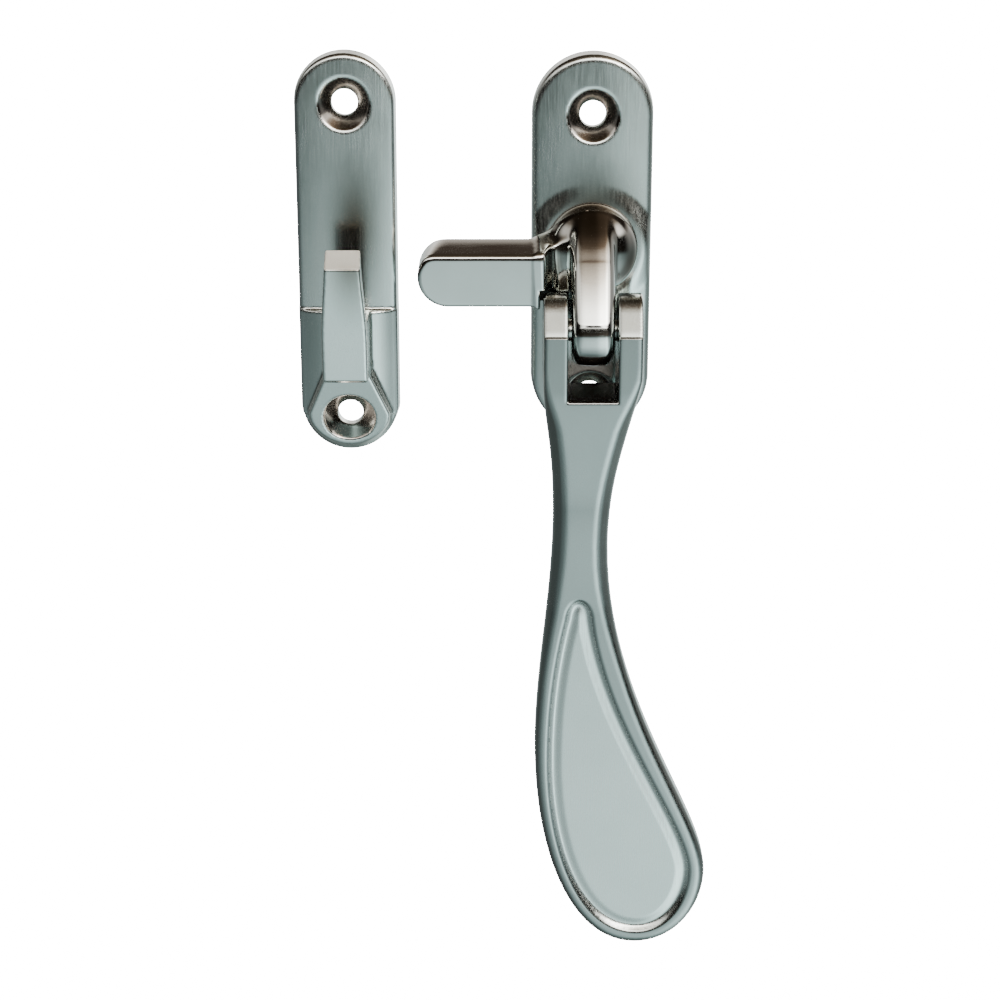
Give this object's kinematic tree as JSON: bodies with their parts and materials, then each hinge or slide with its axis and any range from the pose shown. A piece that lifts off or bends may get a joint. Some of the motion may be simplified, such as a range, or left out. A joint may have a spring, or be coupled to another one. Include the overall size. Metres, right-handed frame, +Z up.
{
  "type": "casement window fastener",
  "caption": "Casement fastener with a turning nose and a hinged spoon handle on an oblong backplate, with a matching hook plate, in satin nickel.",
  "frame": {"origin": "on the fastener's back face, midway between the backplate's two screws", "axes": "-Y out of the window towards the user, +Z up along the backplate, +X away from the hook plate"},
  "size_m": [0.0733, 0.0185, 0.164],
  "materials": {
    "satin_nickel": "satin nickel plate, finely brushed along the handle",
    "plain_steel": "turned and bright",
    "spring_steel": "dull, oil-blacked"
  },
  "bodies": {
    "root": {"backplate": "satin_nickel", "flat_washer": "plain_steel", "wave_washer": "spring_steel", "hook_plate": "satin_nickel"},
    "nose": {"nose_boss": "satin_nickel", "spindle_rivet": "plain_steel"},
    "lever": {"handle": "satin_nickel", "knuckle_pin": "plain_steel"}
  },
  "joints": [
    {"name": "nose_turn", "type": "hinge", "parent": "root", "child": "nose", "pos_m": [0, 0, 0.00185], "axis": [0, -1, 0], "range_deg": [0, 90]},
    {"name": "handle_lift", "type": "hinge", "parent": "nose", "child": "lever", "pos_m": [0, -0.0122, -0.01055], "axis": [-1, 0, 0], "range_deg": [0, 90]}
  ]
}
